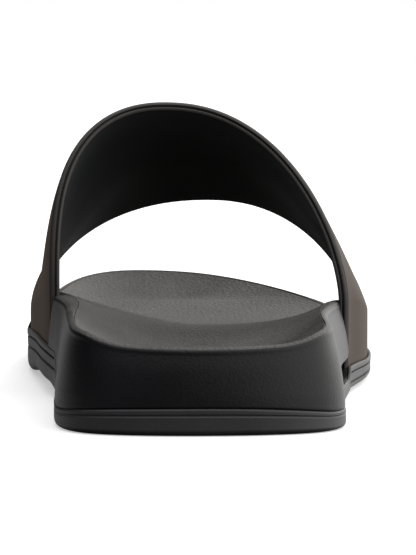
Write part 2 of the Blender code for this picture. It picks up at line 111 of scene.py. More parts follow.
# The closed curve of continuous curvature through the points: its tangents solve one periodic
# system, and each span is a cubic read perSpan times.
def closedSpline(points, perSpan):
    p = np.array(points)
    n = len(p)
    after = np.roll(p, -1, axis=0)
    h = np.sqrt(np.linalg.norm(after - p, axis=1))
    before = np.roll(h, 1)
    chord = (after - p) / h[:, None]
    row = np.arange(n)
    matrix = np.zeros((n, n))
    matrix[row, row - 1] = h
    matrix[row, row] = 2 * (h + before)
    matrix[row, (row + 1) % n] = before
    pull = 3 * (h[:, None] * np.roll(chord, 1, axis=0) + before[:, None] * chord)
    tangent = np.linalg.solve(matrix, pull)
    nextTangent = np.roll(tangent, -1, axis=0)
    t = np.arange(perSpan)[None, :, None] / perSpan
    bend = h[:, None, None] * (tangent[:, None] * t * (1 - t) ** 2 - nextTangent[:, None] * t * t * (1 - t))
    return (p[:, None] * (1 + 2 * t) * (1 - t) ** 2 + after[:, None] * t * t * (3 - 2 * t) + bend).reshape(-1, 2)


# Both sides of the outline from heel to toe: places, outward normals and shares of the side's run.
def readOutline():
    parts = ((sole["heelOutline"], sole["heelWidth"], sole["heelSwing"]),
             (sole["ballOutline"], sole["ballWidth"], 0.0))
    halves = []
    for column, sign in ((1, -1), (2, 1)):
        halves.append([(sign * row[column] * width - swing, row[0] * sole["length"])
                       for table, width, swing in parts for row in table])
    heel, tip = (-sole["heelSwing"], 0.0), (-sole["tipSwing"], sole["length"])
    curve = closedSpline([heel] + halves[0] + [tip] + halves[1][::-1], sole["outlinePoints"])
    toe = (len(halves[0]) + 1) * sole["outlinePoints"]
    ahead = np.roll(curve, -1, axis=0) - np.roll(curve, 1, axis=0)
    normal = np.stack([-ahead[:, 1], ahead[:, 0]], axis=1)
    normal /= np.linalg.norm(normal, axis=1)[:, None]
    curve, normal = np.vstack([curve, curve[:1]]), np.vstack([normal, normal[:1]])
    found = []
    for part in (slice(None, toe + 1), slice(None, toe - 1, -1)):
        run = np.concatenate(([0.0], np.cumsum(np.linalg.norm(np.diff(curve[part], axis=0), axis=1))))
        found.append((curve[part], normal[part], run / run[-1]))
    return found


sides = readOutline()


# The share of a side's run at a share of the sole's length.
def shareAt(side, along):
    place, _, share = sides[side]
    return np.interp(np.asarray(along) * sole["length"], place[:, 1], share)


# Places at shares of a side's run, moved in along the normals by inset.
def onSide(side, shares, inset):
    place, out, share = sides[side]
    x, y, nx, ny = (np.interp(shares, share, v) for v in (*place.T, *out.T))
    return np.stack([x - inset * nx, y - inset * ny], axis=-1)


# Shares of a side's run for the rows of a sole piece, with both ends of the slot among them.
def sideRows(side):
    play = sole["slotPlay"] / sole["length"]
    step = sole["shoulder"] / sole["length"]
    rear = shareAt(side, sole["slotRear"][side] - play)
    front = shareAt(side, sole["slotFront"][side] + play)
    notch = rear - step - sole["notchLength"] / sole["length"]
    return np.concatenate([
        np.linspace(0.0, notch, sole["rearRows"]),
        np.linspace(notch, rear - step, sole["notchRows"] + 1)[1:],
        np.linspace(rear, front, sole["slotRows"]),
        np.linspace(front + step, 1.0, sole["toeRows"]),
    ])


# One closed ring from two sides: up the inner side and back down the outer one.
def ringOf(inner, outer):
    return np.concatenate([inner, outer[-2:0:-1]])


# The outline's ring moved in by inset, which is one value or one a point.
def insetRing(inset):
    inset = np.broadcast_to(inset, ringOuter.shape)
    count = len(rows[0])
    back = np.concatenate([inset[:1], inset[:count - 2:-1]])
    return ringOf(onSide(0, rows[0], inset[:count]), onSide(1, rows[1], back))


# For each point of a ring, the point of the sole's middle line that it runs in to.
def spineRing():
    middle = 0.5 * (onSide(0, rows[0], 0.0) + onSide(1, rows[1], 0.0))
    y = np.clip(middle[:, 1], *(end * sole["length"] for end in sole["spine"]))
    x = 0.5 * sum(np.interp(y, place[:, 1], place[:, 0]) for place, _, _ in sides)
    line = np.stack([x, y], axis=-1)
    return ringOf(line, line)


# How far the toe is sprung off the floor: a power of the way along its last part.
def toeLift(y):
    toe = np.clip((y / sole["length"] - sole["springStart"]) / (1.0 - sole["springStart"]), 0.0, 1.0)
    return sole["toeSpring"] * toe ** sole["springCurve"]


# The underside: flat at heel and ball, lifted at the arch, most on its inner side, and sprung at the toe.
def bottomHeight(x, y):
    along = y / sole["length"]
    arch = smoothStep(*sole["archRise"], along) * (1.0 - smoothStep(*sole["archFall"], along))
    inner, outer = sole["archLift"]
    return (outer + (inner - outer) * np.clip(0.5 - x / sole["ballWidth"], 0.0, 1.0)) * arch + toeLift(y)


# A flat ring's points at one height, or at one each.
def withHeight(ring, z):
    return np.column_stack([ring, np.broadcast_to(z, len(ring))])


# Rings from an inset outline straight in to the middle line, at lift over the underside.
def floorRings(inset, steps, lift):
    edge = insetRing(inset)
    places = [edge + (spine - edge) * step for step in steps]
    return [withHeight(place, bottomHeight(*place.T) + lift) for place in places]


# A height or depth that differs between the sides: the table's inner column on one, its outer on the other.
def bySide(table, inner, outer, along):
    low = readTable(table, inner, along)
    return low + (readTable(table, outer, along) - low) * ringOuter


rows = [sideRows(0), sideRows(1)]
inSlot = np.zeros(len(rows[0]), bool)
inSlot[sole["rearRows"] + sole["notchRows"]:-sole["toeRows"]] = True
ringSlot = ringOf(inSlot, inSlot)
ringOuter = ringOf(np.zeros(len(inSlot)), np.ones(len(inSlot)))  # 1 on the outer side
spine = spineRing()
outline = insetRing(0.0)
outlineAlong = outline[:, 1] / sole["length"]

# How every mesh is cleaned and shaded.
meshing = {
    "sharpAngle": 38.0,  # degrees
    "merge": 2e-6,
    "leastEdge": 1e-7,
}


# Quads between neighbouring rings of count points each.
def ringQuads(ringCount, count):
    low = np.arange(ringCount - 1)[:, None] * count + np.arange(count)
    beside = np.arange(ringCount - 1)[:, None] * count + (np.arange(count) + 1) % count
    return np.stack([low, low + count, beside + count, beside], axis=-1).reshape(-1, 4)


# A mesh object from whole arrays of points and quads, at the origin and smooth up to the sharp angle.
def addPiece(name, points, quads, materials, faceMaterial, attributes=None):
    mesh = bpy.data.meshes.new(name)
    mesh.vertices.add(len(points))
    mesh.vertices.foreach_set("co", np.ascontiguousarray(points, np.float32).ravel())
    mesh.loops.add(quads.size)
    mesh.loops.foreach_set("vertex_index", quads.astype(np.int32).ravel())
    mesh.polygons.add(len(quads))
    mesh.polygons.foreach_set("loop_start", np.arange(0, quads.size, 4, dtype=np.int32))
    mesh.polygons.foreach_set("material_index", faceMaterial.astype(np.int32))
    mesh.update(calc_edges=True)
    for key, values in (attributes or {}).items():
        mesh.attributes.new(key, "FLOAT", "POINT").data.foreach_set("value", values.astype(np.float32).ravel())
    for material in materials:
        mesh.materials.append(material)
    bm = bmesh.new()
    bm.from_mesh(mesh)
    bmesh.ops.remove_doubles(bm, verts=bm.verts, dist=meshing["merge"])
    bmesh.ops.dissolve_degenerate(bm, edges=bm.edges, dist=meshing["leastEdge"])
    bmesh.ops.recalc_face_normals(bm, faces=bm.faces)
    bm.to_mesh(mesh)
    bm.free()
    mesh.shade_smooth()
    mesh.set_sharp_from_angle(angle=math.radians(meshing["sharpAngle"]))
    piece = bpy.data.objects.new(name, mesh)
    bpy.context.scene.collection.objects.link(piece)
    return piece


# A solid through rings whose first and last lie on the middle line.
# The faces between the rings of the second range, if it is given, take the second material.
def addLoft(name, rings, materials, second=(0, 0)):
    points = np.concatenate(rings)
    points[:, 1] -= sole["length"] / 2
    number = np.repeat(np.arange(len(rings) - 1), len(rings[0]))
    faceMaterial = (number >= second[0]) & (number < second[1])
    return addPiece(name, points, ringQuads(len(rings), len(rings[0])), materials, faceMaterial)


# The outsole: a thin slab with a band round the heel and a rand of two grooves round the forefoot.
outsole = {
    "slab": 0.0045,
    "heelBand": 0.0078,  # at the back
    "randHeight": 0.0155,
    "lipWall": 0.0008,
    "corner": 0.0022,
    "cornerRise": 0.24,  # height of the corner's arc, as a share of the side's rise
    "cornerRows": 9,
    "randFlare": 0.0002,
    "randGroove": 0.0007,
    "grooveReach": 0.0082,  # height below the lip over which both grooves lie
    "heelGroove": 0.0002,
    "randStart": ((0.290, 0.340), (0.366, 0.388)),  # inner side, outer side
    "band": (  # along, inner side, outer side: shares of the heel band
        (0.000, 1.000, 1.000),
        (0.010, 0.960, 0.910),
        (0.034, 0.865, 0.750),
        (0.072, 0.770, 0.700),
        (0.125, 0.750, 0.690),
        (1.000, 0.750, 0.690),
    ),
    "rand": (  # along, inner side, outer side: shares of the highest rand
        (0.360, 0.965, 0.565),
        (0.400, 1.000, 0.550),
        (0.460, 1.010, 0.522),
        (0.540, 0.995, 0.455),
        (0.620, 0.930, 0.405),
        (0.730, 0.760, 0.400),
        (0.850, 0.670, 0.485),
        (1.000, 0.615, 0.615),
    ),
    "grooves": ((0.27, 0.31, 0.36, 0.40), (0.68, 0.72, 0.76, 0.80)),  # shares of the side's rise
    "grooveSpan": (0.25, 0.90),  # the part of the rise that holds them
    "grooveRows": 56,
    "ridgeSink": 0.1,  # how far the ridge between them lies under the face, as a share of a groove
    "ridgeBlend": 0.03,
    "lipRound": (0.00070, 0.00030),  # round the heel, and round the forefoot
    "lipStart": 0.15,  # the share of a quarter turn at which the lip's arc begins
    "lipRows": 5,
    "lipEdge": 0.00005,  # bevel of the lip's inner edge
    "treadDepth": 0.0015,
    "treadWidth": 0.0028,
    "treadPitch": 0.013,
    "treadMargin": 0.0085,
    "treadWave": 0.0045,
    "treadFolds": 4,
    "treadWall": 0.0009,  # length over which a groove's wall falls
    "treadRings": 76,
    "heelTread": (0.095, 0.330),
    "ballTread": (0.590, 0.860),
}


# How far the heel's band has given way to the rand: 0 round the heel, 1 round the forefoot.
def randShare():
    inner, outer = (smoothStep(*start, outlineAlong) for start in outsole["randStart"])
    return inner + (outer - inner) * ringOuter


# The height of the outsole's lip: band or rand, over the toe's lift.
def lipHeight():
    rand = outsole["randHeight"] * bySide(outsole["rand"], 1, 2, outlineAlong)
    heel = outsole["heelBand"] * bySide(outsole["band"], 1, 2, outlineAlong)
    return toeLift(outline[:, 1]) + heel + (rand - heel) * randShare()


# How deep the tread is cut at each point of the underside: square grooves along lines folded into chevrons.
def treadCut(x, y):
    cut = np.zeros(len(x))
    wall = outsole["treadWall"] / 2
    starts = [np.arange(low * sole["length"], high * sole["length"], outsole["treadPitch"])
              for low, high in (outsole["heelTread"], outsole["ballTread"])]
    for middle in np.concatenate(starts):
        ends = [np.interp(middle, place[:, 1], place[:, 0]) for place, _, _ in sides]
        x0, x1 = ends[0] + outsole["treadMargin"], ends[1] - outsole["treadMargin"]
        share = (x - x0) / (x1 - x0)
        fold = np.abs((share * outsole["treadFolds"]) % 2 - 1) * 2 - 1
        away = np.abs(y - middle - outsole["treadWave"] / 2 * fold) - outsole["treadWidth"] / 2
        beyond = np.maximum(x0 - x, x - x1)
        cut = np.maximum(cut, 1.0 - smoothStep(-wall, wall, np.maximum(away, beyond)))
    return outsole["treadDepth"] * cut


# How deep each groove is cut at a rise up the side, and how far the ridge between them is sunk.
def sideDents(rise):
    dents = [smoothStep(a, b, rise) * (1.0 - smoothStep(c, d, rise)) for a, b, c, d in outsole["grooves"]]
    start, end = outsole["grooves"][0][3], outsole["grooves"][1][0]
    blend = outsole["ridgeBlend"]
    ridge = smoothStep(start - blend, start, rise) * (1.0 - smoothStep(end, end + blend, rise))
    return dents, outsole["ridgeSink"] * ridge


# The outsole's rings: the cut underside, the corner's arc, the side with its grooves, the lip and the floor inside.
# The corner's height follows the whole side, and the grooves keep their distance from the lip.
def makeOutsole(material):
    low, high = bottomHeight(*outline.T), lipHeight()
    fore = randShare()
    flare = outsole["randFlare"] * fore
    rings = floorRings(outsole["corner"] + flare, np.linspace(1.0, 0.0, outsole["treadRings"]), 0.0)
    for ring in rings:
        ring[:, 2] += treadCut(ring[:, 0], ring[:, 1])
    turn = np.linspace(0.0, np.pi / 2, outsole["cornerRows"])[1:]
    rises = np.concatenate([outsole["cornerRise"] * (1.0 - np.cos(turn)),
                            np.linspace(*outsole["grooveSpan"], outsole["grooveRows"])])
    insets = np.concatenate([1.0 - np.sin(turn), np.zeros(outsole["grooveRows"])])
    reach = np.minimum(high - low, outsole["grooveReach"])
    for rise, inset in zip(rises, insets):
        dents, ridge = sideDents(rise)
        cut = fore * outsole["randGroove"] * (sum(dents) + ridge) + (1.0 - fore) * outsole["heelGroove"] * dents[1]
        ring = insetRing(outsole["corner"] * inset + flare * (1.0 - rise) + cut)
        inCorner = rise < outsole["grooveSpan"][0]
        rings.append(withHeight(ring, low + (high - low) * rise if inCorner else high - (1.0 - rise) * reach))
    heelRound, foreRound = outsole["lipRound"]
    lipRound = heelRound + (foreRound - heelRound) * fore
    for turn in np.linspace(outsole["lipStart"], 1.0, outsole["lipRows"]) * np.pi / 2:
        rings.append(withHeight(insetRing(lipRound * (1.0 - np.cos(turn))), high - lipRound * (1.0 - np.sin(turn))))
    rings.append(withHeight(insetRing(outsole["lipWall"] - outsole["lipEdge"]), high))
    rings.append(withHeight(insetRing(outsole["lipWall"]), high - outsole["lipEdge"]))
    rings += floorRings(outsole["lipWall"], sole["floorSteps"], outsole["slab"])
    return addLoft("outsoleMoulding", rings, [material])


# The midsole: leaning sides over a ledge, a rounded rim, slots for the band's feet and a tray.
midsole = {
    "sideInset": 0.0002,
    "wallLean": 0.0036,
    "rimHeight": 0.0307,
    "rimRound": 0.0020,
    "rim": (  # along, inner side, outer side: shares of the highest rim
        (0.000, 0.796, 0.796),
        (0.010, 0.818, 0.815),
        (0.030, 0.885, 0.877),
        (0.080, 0.936, 0.941),
        (0.160, 0.962, 0.962),
        (0.280, 0.980, 0.948),
        (0.380, 1.000, 0.930),
        (0.450, 0.980, 0.888),
        (0.560, 0.796, 0.741),
        (0.660, 0.645, 0.603),
        (0.740, 0.588, 0.552),
        (0.850, 0.556, 0.547),
        (1.000, 0.547, 0.547),
    ),
    "side": (  # rise, share of the lean, share of the notch
        (0.00, 0.05, 0.7),
        (0.04, 0.00, 0.8),
        (0.24, 0.10, 1.0),
        (0.30, 0.145, 0.0),
        (0.72, 0.57, 0.0),
        (1.00, 1.00, 0.0),
    ),
    "lean": (  # along, inner side, outer side: shares of the whole lean
        (0.000, 1.00, 1.00),
        (0.160, 1.00, 1.00),
        (0.300, 0.60, 0.95),
        (0.386, 0.40, 0.88),
        (0.600, 0.60, 0.90),
        (0.750, 1.00, 1.00),
        (1.000, 1.00, 1.00),
    ),
    "notch": 0.0042,
    "ledgeGap": 0.00006,  # the foam is bonded to the rubber
    "footRows": 4,  # rows of the wall's round lower edge
    "wallRows": 30,
    "rimRows": 12,
    "topRows": 5,  # from the rim in to the tray
    "topCurve": 1.6,
    "coverRows": 7,  # rows of the rim's arc over which the footbed's cover is turned
}


# The height of the midsole's rim, which follows the toe's lift from the ball on.
def rimHeight():
    lift = toeLift(outline[:, 1]) * smoothStep(*sole["topSpring"], outlineAlong)
    return midsole["rimHeight"] * bySide(midsole["rim"], 1, 2, outlineAlong) + lift


# How deep the wall is cut behind the band on the outer side, at each point of a ring.
def notchRing():
    start = sole["slotRear"][1] * sole["length"] - sole["slotPlay"] + sole["fit"] - sole["notchLength"]
    depth = midsole["notch"] * smoothStep(start, start + sole["notchLength"], outline[:, 1])
    return depth * ringOuter * (outline[:, 1] < sole["slotFront"][1] * sole["length"])


# The midsole's rings: its underside, the leaning side with the slots, the rim's arc and the tray.
def makeMidsole(material, cover):
    slotInset = outsole["lipWall"] + band["wall"] + 2 * sole["fit"]
    cup = np.where(ringSlot, slotInset, outsole["lipWall"] + sole["fit"])
    ledge = lipHeight() + midsole["ledgeGap"]
    rim = rimHeight()
    wallTop = rim - midsole["rimRound"]
    cut = notchRing()
    rings = floorRings(cup, sole["floorSteps"][::-1], outsole["slab"] + sole["fit"])
    rings.append(withHeight(insetRing(cup), ledge))
    side = np.array(midsole["side"])
    leanIn = midsole["wallLean"] * bySide(midsole["lean"], 1, 2, outlineAlong)
    foot = side[1, 0]
    footRises = foot * np.arange(midsole["footRows"]) / midsole["footRows"]
    for rise in np.concatenate([footRises, np.linspace(foot, 1.0, midsole["wallRows"])]):
        edge = side[0, 1] * (1.0 - math.sqrt(1.0 - max(1.0 - rise / foot, 0.0) ** 2))  # a round lower edge
        lean = readTable(side[1:], 1, rise) if rise > foot else edge
        notch = np.interp(rise, side[:, 0], side[:, 2])
        inset = np.where(ringSlot, slotInset, midsole["sideInset"] + leanIn * lean + cut * notch)
        rings.append(withHeight(insetRing(inset), ledge + (wallTop - ledge) * rise))
    top = np.where(ringSlot, slotInset, midsole["sideInset"] + leanIn)
    for turn in np.linspace(0.0, 1.0, midsole["rimRows"])[1:] * np.pi / 2:
        ring = insetRing(top + midsole["rimRound"] * (1.0 - np.cos(turn)))
        rings.append(withHeight(ring, rim - midsole["rimRound"] * (1.0 - np.sin(turn))))
    start = top + midsole["rimRound"]
    coverStart = len(rings) - midsole["coverRows"]
    tray = bedEdge()
    for share in np.linspace(0.0, 1.0, midsole["topRows"])[1:]:
        ring = insetRing(start + (tray - start) * share)
        rings.append(withHeight(ring, rim - footbed["drop"] * share ** midsole["topCurve"]))
    coverEnd = len(rings)
    rings += bedRings(tray, np.linspace(0.0, 1.0, sole["underRings"]), footbed["thickness"] + sole["fit"])
    return addLoft("midsoleFoam", rings, [material, cover], second=(coverStart, coverEnd))


# The footbed: a contoured sheet in the midsole's tray.
footbed = {
    "inset": 0.0072,  # of its edge beside the slots
    "edge": (  # along, share of the inset
        (0.000, 0.855),
        (0.250, 0.855),
        (0.345, 1.000),
        (0.790, 1.000),
        (0.880, 0.855),
        (1.000, 0.855),
    ),
    "thickness": 0.0030,
    "drop": 0.0004,  # how far its edge lies under the rim
    "round": 0.0002,
    "gap": 0.00003,  # the sheet is bonded in, so its seam is all but closed
    "low": 0.0144,
    "bed": (  # along, middle line as a share of low, and how fast each side falls to it
        (0.000, 1.166, 2.4, 2.4),
        (0.150, 1.166, 2.4, 2.4),
        (0.280, 1.254, 2.0, 2.5),
        (0.410, 1.429, 1.45, 3.1),
        (0.500, 1.306, 1.5, 2.9),
        (0.600, 1.079, 1.8, 2.6),
        (0.680, 1.000, 2.4, 2.6),
        (0.780, 0.991, 3.2, 3.2),
        (1.000, 1.009, 3.2, 3.2),
    ),
    "edgeRows": 6,
    "bowlRows": 44,
    "bowlCurve": 1.15,  # draws the bowl's rows towards its edge
}


# How far in the footbed's edge lies at each point of a ring.
def bedEdge():
    return footbed["inset"] * readTable(footbed["edge"], 1, outlineAlong)


# Rings of the footbed's upper face, moved down by drop: from its edge it falls to the middle line
# as a power of the way that is left.
def bedRings(edgeInset, steps, drop):
    edge = insetRing(edgeInset)
    edgeZ = rimHeight() - footbed["drop"]
    spineAlong = spine[:, 1] / sole["length"]
    middle = footbed["low"] * readTable(footbed["bed"], 1, spineAlong)
    middle = middle + toeLift(spine[:, 1]) * smoothStep(*sole["topSpring"], spineAlong)
    fall = bySide(footbed["bed"], 2, 3, edge[:, 1] / sole["length"])
    return [withHeight(edge + (spine - edge) * step, middle + (edgeZ - middle) * (1.0 - step) ** fall - drop)
            for step in steps]


# The footbed's rings: its underside, the rounded edge and the bowl.
def makeFootbed(material):
    edge = bedEdge() + footbed["gap"]
    rings = bedRings(edge, np.linspace(1.0, 0.0, sole["underRings"]), footbed["thickness"])
    for turn in np.linspace(0.0, 1.0, footbed["edgeRows"]) * np.pi / 2:
        inset = edge + footbed["round"] * (1.0 - np.cos(turn))
        rings += bedRings(inset, (0.0,), footbed["round"] * (1.0 - np.sin(turn)))
    steps = np.linspace(0.0, 1.0, footbed["bowlRows"])[1:] ** footbed["bowlCurve"]
    rings += bedRings(edge + footbed["round"], steps, 0.0)
    return addLoft("footbedSheet", rings, [material])


# The band over the instep: an outer skin and a softer lining, parted by a fine groove along its edges.
band = {
    "wall": 0.0030,
    "skin": 0.0016,  # thickness of the outer layer
    "height": 0.0883,
    "round": 2.2,
    "sweep": 1.5,
    "sections": (  # share, inner foot, outer foot, apex, across, top, inner rise, outer rise
        (0.00, 0.386, 0.386, 0.461, -0.124, 1.000, 3.25, 1.66),
        (0.50, 0.568, 0.553, 0.593, -0.052, 0.837, 1.38, 1.15),
        (1.00, 0.754, 0.720, 0.725, 0.030, 0.633, 1.80, 1.58),
    ),
    "outerRound": 0.0012,
    "innerRound": 0.0008,
    "partingDepth": 0.0008,
    "partingWidth": 0.00045,
    "parting": ((1.0, 0.02), (0.55, 0.5), (0.12, 0.9), (0.0, 1.3)),  # its shape: shares of depth and width
    "arcPoints": 500,
    "rows": 161,
    "columns": 260,
    "edgeRows": 7,
    "faceRows": 56,
    "highlightedEdgeFaces": 8,  # faces of each layer's edge that take the painted highlight
}


# One section of the band's outer face: a leg in each slot, and between them two quarters of an oval
# whose width and height fall as powers of cosine and sine. Points lie evenly along it.
def bandSection(share):
    innerFoot, outerFoot, apex, across, top, innerRise, outerRise = (
        float(readTable(band["sections"], column, share)) for column in range(1, 8))
    height = top * band["height"]
    peak = (across * sole["ballWidth"], apex * sole["length"])
    halves = []
    for side, foot, rise in ((0, innerFoot, innerRise), (1, outerFoot, outerRise)):
        x, y = onSide(side, shareAt(side, foot), outsole["lipWall"] + sole["fit"])
        base = float(bottomHeight(x, y)) + outsole["slab"] + sole["fit"]
        leg = max(midsole["rimHeight"] * float(readTable(midsole["rim"], 1 + side, foot)), base)
        angle = np.linspace(0.0, np.pi / 2, band["arcPoints"])
        out, up = np.cos(angle) ** (2 / band["round"]), np.sin(angle) ** (2 / rise)
        arc = np.stack([peak[0] + (x - peak[0]) * out,
                        y + (peak[1] - y) * up ** band["sweep"],
                        leg + (height - leg) * up], axis=-1)
        halves.append(np.vstack([[x, y, base], arc]))
    line = np.vstack([halves[0], halves[1][-2::-1]])
    run = np.concatenate(([0.0], np.cumsum(np.linalg.norm(np.diff(line, axis=0), axis=1))))
    steps = np.linspace(0.0, run[-1], band["columns"])
    return np.stack([np.interp(steps, run, line[:, i]) for i in range(3)], axis=-1)


# One layer of the band's ring, from the parting at the rear edge, round the face, to the parting at the front.
# It gives how far each point lies from the rear edge, what share of the width is added, and its depth.
def layerRing(sign, radius, extent):
    turn = np.linspace(0.0, 1.0, band["edgeRows"]) * np.pi / 2
    edge = [(band["partingDepth"] * inward, band["partingWidth"] * out) for inward, out in band["parting"]]
    edge = np.array(edge + list(zip(radius * (1.0 - np.cos(turn)), extent - radius * (1.0 - np.sin(turn)))))
    t = np.linspace(0.0, 1.0, band["faceRows"] + 2)[1:-1]
    fromEdge = np.concatenate([edge[:, 0], radius * (1.0 - 2.0 * t), -edge[::-1, 0]])
    widthShare = np.concatenate([np.zeros(len(edge)), t, np.ones(len(edge))])
    depth = np.concatenate([edge[:, 1], np.full(len(t), extent), edge[::-1, 1]])
    return fromEdge, widthShare, band["skin"] + sign * depth


# The band as a closed tube: round each column runs a long flat ring, given by how far each point lies
# from the rear or front edge and how deep under the outer face. Normals come from the face's own slopes.
def makeBand(skin, lining, edgeHighlight):
    face = np.array([bandSection(share) for share in np.linspace(0.0, 1.0, band["rows"])])
    normal = np.cross(np.gradient(face, axis=1), np.gradient(face, axis=0))
    normal /= np.linalg.norm(normal, axis=2)[:, :, None]
    normal *= np.sign(normal[band["rows"] // 2, band["columns"] // 2, 2])
    width = np.cumsum(np.linalg.norm(np.diff(face, axis=0), axis=2), axis=0)
    run = np.concatenate([np.zeros((1, band["columns"])), width])
    outer = layerRing(-1, band["outerRound"], band["skin"])
    inner = layerRing(1, band["innerRound"], band["wall"] - band["skin"])
    fromEdge, widthShare, depth = (np.concatenate([a, b[::-1]]) for a, b in zip(outer, inner))
    count, columns = len(fromEdge), band["columns"]
    points = np.empty((columns, count, 3))
    across = np.empty((columns, count))
    for c in range(columns):
        way = fromEdge + widthShare * run[-1, c]
        row = np.interp(way, run[:, c], np.arange(band["rows"]))
        low = np.minimum(row.astype(int), band["rows"] - 2)
        t = (row - low)[:, None]
        place = face[low, c] * (1 - t) + face[low + 1, c] * t
        away = normal[low, c] * (1 - t) + normal[low + 1, c] * t
        across[c] = way
        points[c] = place - away * depth[:, None]
    points = points.reshape(-1, 3)
    points[:, 1] -= sole["length"] / 2
    perLayer = count // 2
    k = np.arange(perLayer - 1)
    cap = np.stack([k, k + 1, count - 2 - k, count - 1 - k], axis=-1)
    quads = np.concatenate([ringQuads(columns, count), cap, cap[:, ::-1] + (columns - 1) * count])
    # Skin outside, lining inside, and a painted highlight, a lighter grey, on the edge faces between the two
    # rounded corners
    step = np.arange(count)
    lined = (step >= perLayer) | (step == count - 1)
    inLayer = step % perLayer
    onEdge = (inLayer < band["highlightedEdgeFaces"]) | (inLayer >= perLayer - 1 - band["highlightedEdgeFaces"])
    ringMaterial = np.where(onEdge, 2, lined.astype(int))
    faceMaterial = np.concatenate([np.tile(ringMaterial, columns - 1), np.zeros(2 * len(cap), int)])
    middle = face[band["rows"] // 2]
    girth = np.concatenate(([0.0], np.cumsum(np.linalg.norm(np.diff(middle, axis=0), axis=1))))
    attributes = {"girth": np.repeat(girth, count), "across": across}
    return addPiece("strapBand", points, quads, [skin, lining, edgeHighlight], faceMaterial, attributes)


# An sRGB hex colour as linear red, green, blue and alpha.
def toLinear(code):
    c = np.array([int(code[i:i + 2], 16) for i in (1, 3, 5)]) / 255
    return (*np.where(c <= 0.04045, c / 12.92, ((c + 0.055) / 1.055) ** 2.4).tolist(), 1.0)


# Adds a node with its settings, and its inputs as values or as the sockets to link.
def addNode(tree, kind, inputs=None, **settings):
    made = tree.nodes.new("ShaderNode" + kind)
    for name, value in settings.items():
        setattr(made, name, value)
    for name, value in (inputs or {}).items():
        if isinstance(value, bpy.types.NodeSocket):
            tree.links.new(value, made.inputs[name])
        else:
            made.inputs[name].default_value = value
    return made


# What all finishes share. A noise keeps near its middle, so only a part of its range is used.
drifts = {
    "reliefShare": 0.35,  # how much the relief counts in the drift of colour
    "streakShare": 0.5,
    "colourRange": (0.32, 0.68),
    "roughRange": (0.30, 0.70),
}


# A material whose colour drifts between two, whose roughness drifts with it, and whose grain is a bump.
# The grain is fine noise mixed with round cells, and streaks are noise drawn out round the band.
def addMaterial(name, look):
    material = bpy.data.materials.new(name)
    material.use_nodes = True
    tree = material.node_tree
    tree.nodes.clear()
    place = addNode(tree, "TexCoord").outputs["Object"]
    cloud = addNode(tree, "TexNoise", {"Vector": place, "Scale": 1 / look["cloud"], "Detail": 4.0}).outputs["Fac"]
    fine = addNode(tree, "TexNoise", {"Vector": place, "Scale": 1 / look["grain"], "Detail": 3.0,
                                      "Roughness": 0.65}).outputs["Fac"]
    cells = addNode(tree, "TexVoronoi", {"Vector": place, "Scale": 1 / look["pebble"]},
                    feature="SMOOTH_F1").outputs["Distance"]
    height = addNode(tree, "Mix", {"Factor": look["cells"], "A": fine, "B": cells}).outputs["Result"]
    drift = addNode(tree, "Mix", {"Factor": drifts["reliefShare"], "A": cloud, "B": height}).outputs["Result"]
    if "streak" in look:
        streakWidth, streakLength, streakHeight = look["streak"]
        girth = addNode(tree, "Attribute", attribute_name="girth").outputs["Fac"]
        across = addNode(tree, "Attribute", attribute_name="across").outputs["Fac"]
        flat = addNode(tree, "CombineXYZ", {"X": girth, "Y": across}).outputs[0]
        scale = (1 / streakLength, 1 / streakWidth, 1)
        drawnOut = addNode(tree, "Mapping", {"Vector": flat, "Scale": scale}).outputs[0]
        streak = addNode(tree, "TexNoise", {"Vector": drawnOut, "Scale": 1.0, "Detail": 3.0,
                                            "Roughness": 0.6}).outputs["Fac"]
        drift = addNode(tree, "Mix", {"Factor": drifts["streakShare"], "A": drift, "B": streak}).outputs["Result"]
        height = addNode(tree, "Mix", {"Factor": streakHeight, "A": height, "B": streak}).outputs["Result"]
    colour = addNode(tree, "ValToRGB", {"Fac": drift})
    for element, at, shade in zip(colour.color_ramp.elements, drifts["colourRange"], (look["dark"], look["light"])):
        element.position, element.color = at, toLinear(shade)
    fromLow, fromHigh = drifts["roughRange"]
    rough = addNode(tree, "MapRange", {"Value": drift, "From Min": fromLow, "From Max": fromHigh,
                                       "To Min": look["rough"][0], "To Max": look["rough"][1]}).outputs["Result"]
    bump = addNode(tree, "Bump", {"Height": height, "Strength": look["bump"][0], "Distance": look["bump"][1]})
    shader = addNode(tree, "BsdfPrincipled", {"Base Color": colour.outputs["Color"], "Roughness": rough,
                                              "Normal": bump.outputs["Normal"], "IOR": look["ior"],
                                              **look.get("sockets", {})})
    addNode(tree, "OutputMaterial", {"Surface": shader.outputs[0]})
    return material


